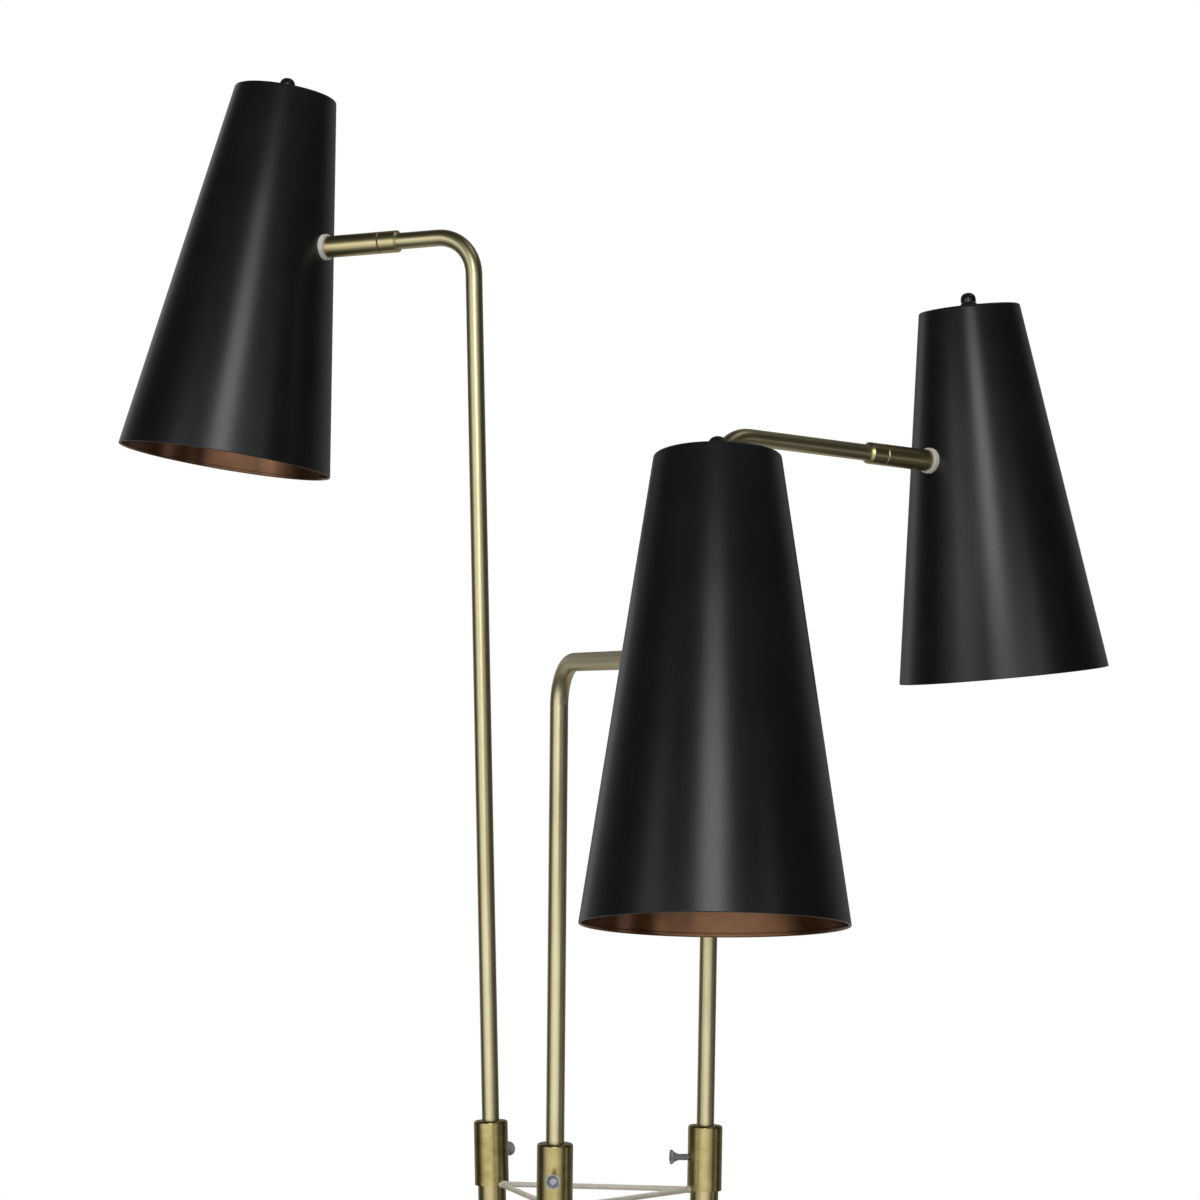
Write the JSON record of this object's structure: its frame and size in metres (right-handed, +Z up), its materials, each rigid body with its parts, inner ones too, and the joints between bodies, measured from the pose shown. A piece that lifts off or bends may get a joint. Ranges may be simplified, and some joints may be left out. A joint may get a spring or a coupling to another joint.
{
  "type": "floor lamp",
  "caption": "Floor lamp with telescopic brass stems on a round weighted base, bent arms, friction swivels and conical metal shades with switch knobs on top.",
  "frame": {"origin": "on the floor, under the middle of the round base", "axes": "+Z up, -Y to the front where the lowest light stands out towards the viewer, +X to the viewer's right"},
  "size_m": [0.7732, 0.7502, 1.5987],
  "materials": {
    "black_paint": "satin",
    "brass": "satin",
    "base_paint": "satin",
    "steel": "satin",
    "wire": "satin",
    "washer": "satin",
    "iron": "rough",
    "felt": "matt",
    "rubber": "matt",
    "nylon": "matt",
    "fibre": "matt",
    "phenolic": "satin",
    "knob_black": "satin",
    "cap_metal": "bright",
    "glass": "frosted"
  },
  "bodies": {
    "stand": {"base_cover": "base_paint", "base_weight": "iron", "base_felt": "felt", "base_nuts": "steel", "terminal_block": "nylon", "cord_gland": "rubber", "spreader": "wire", "post_left": "brass", "collar_left": "brass", "post_front": "brass", "collar_front": "brass", "post_right": "brass", "collar_right": "brass"},
    "thumbscrew_left": {"thumbscrew_left": "steel"},
    "guide_left": {"guide_bush_left": "nylon"},
    "arm_left": {"stem_left": "brass", "swivel_collar_left": "brass", "swivel_pin_left": "brass", "friction_washer_left": "fibre"},
    "head_left": {"shade_left": "black_paint", "swivel_barrel_left": "brass", "shade_washer_left": "washer", "shade_nut_left": "steel", "lampholder_left": "phenolic", "switch_nut_left": "knob_black", "bulb_cap_left": "cap_metal", "bulb_glass_left": "glass"},
    "knob_left": {"switch_knob_left": "knob_black"},
    "thumbscrew_front": {"thumbscrew_front": "steel"},
    "guide_front": {"guide_bush_front": "nylon"},
    "arm_front": {"stem_front": "brass", "swivel_collar_front": "brass", "swivel_pin_front": "brass", "friction_washer_front": "fibre"},
    "head_front": {"shade_front": "black_paint", "swivel_barrel_front": "brass", "shade_washer_front": "washer", "shade_nut_front": "steel", "lampholder_front": "phenolic", "switch_nut_front": "knob_black", "bulb_cap_front": "cap_metal", "bulb_glass_front": "glass"},
    "knob_front": {"switch_knob_front": "knob_black"},
    "thumbscrew_right": {"thumbscrew_right": "steel"},
    "guide_right": {"guide_bush_right": "nylon"},
    "arm_right": {"stem_right": "brass", "swivel_collar_right": "brass", "swivel_pin_right": "brass", "friction_washer_right": "fibre"},
    "head_right": {"shade_right": "black_paint", "swivel_barrel_right": "brass", "shade_washer_right": "washer", "shade_nut_right": "steel", "lampholder_right": "phenolic", "switch_nut_right": "knob_black", "bulb_cap_right": "cap_metal", "bulb_glass_right": "glass"},
    "knob_right": {"switch_knob_right": "knob_black"}
  },
  "joints": [
    {"name": "height_left", "type": "slide", "parent": "stand", "child": "guide_left", "axis": [-0.0223, 0.0099, 0.9997], "range_m": [-0.571, 0.119]},
    {"name": "turn_left", "type": "hinge", "parent": "guide_left", "child": "arm_left", "pos_m": [-0.06911, 0.06223, 0.801], "axis": [-0.0223, 0.0099, 0.9997], "range_deg": [-60, 60]},
    {"name": "tilt_left", "type": "hinge", "parent": "arm_left", "child": "head_left", "pos_m": [-0.20025, 0.12062, 1.46146], "axis": [0.9135, -0.4067, 0.0035], "range_deg": [-90, 90]},
    {"name": "switch_left", "type": "hinge", "parent": "head_left", "child": "knob_left", "pos_m": [-0.23316, 0.14459, 1.58627], "axis": [0.1568, 0.0039, 0.9876], "continuous": true},
    {"name": "clamp_left", "type": "hinge", "parent": "stand", "child": "thumbscrew_left", "pos_m": [-0.0686, 0.062, 0.77781], "axis": [0.5, 0.866, 0.0026], "continuous": true},
    {"name": "height_front", "type": "slide", "parent": "stand", "child": "guide_front", "axis": [0.0088, -0.0228, 0.9997], "range_m": [-0.242, 0.448]},
    {"name": "turn_front", "type": "hinge", "parent": "guide_front", "child": "arm_front", "pos_m": [-0.01934, -0.09097, 0.801], "axis": [0.0088, -0.0228, 0.9997], "range_deg": [-60, 60]},
    {"name": "tilt_front", "type": "hinge", "parent": "arm_front", "child": "head_front", "pos_m": [0.06239, -0.30386, 1.12743], "axis": [-0.3583, 0.9333, 0.0244], "range_deg": [-90, 90]},
    {"name": "switch_front", "type": "hinge", "parent": "head_front", "child": "knob_front", "pos_m": [0.08473, -0.34073, 1.25143], "axis": [0.0131, 0.1345, 0.9908], "continuous": true},
    {"name": "clamp_front", "type": "hinge", "parent": "stand", "child": "thumbscrew_front", "pos_m": [-0.01954, -0.09044, 0.77781], "axis": [-0.035, -0.9991, -0.0225], "continuous": true},
    {"name": "height_right", "type": "slide", "parent": "stand", "child": "guide_right", "axis": [0.0196, 0.0145, 0.9997], "range_m": [-0.417, 0.273]},
    {"name": "turn_right", "type": "hinge", "parent": "guide_right", "child": "arm_right", "pos_m": [0.08845, 0.02874, 0.801], "axis": [0.0196, 0.0145, 0.9997], "range_deg": [-60, 60]},
    {"name": "tilt_right", "type": "hinge", "parent": "arm_right", "child": "head_right", "pos_m": [0.26897, 0.16231, 1.30074], "axis": [-0.8034, -0.5945, 0.0349], "range_deg": [-90, 90]},
    {"name": "switch_right", "type": "hinge", "parent": "head_right", "child": "knob_right", "pos_m": [0.30346, 0.1892, 1.42452], "axis": [-0.0939, -0.0588, 0.9938], "continuous": true},
    {"name": "clamp_right", "type": "hinge", "parent": "stand", "child": "thumbscrew_right", "pos_m": [0.08799, 0.0284, 0.77781], "axis": [-0.9846, -0.1735, 0.0219], "continuous": true}
  ]
}
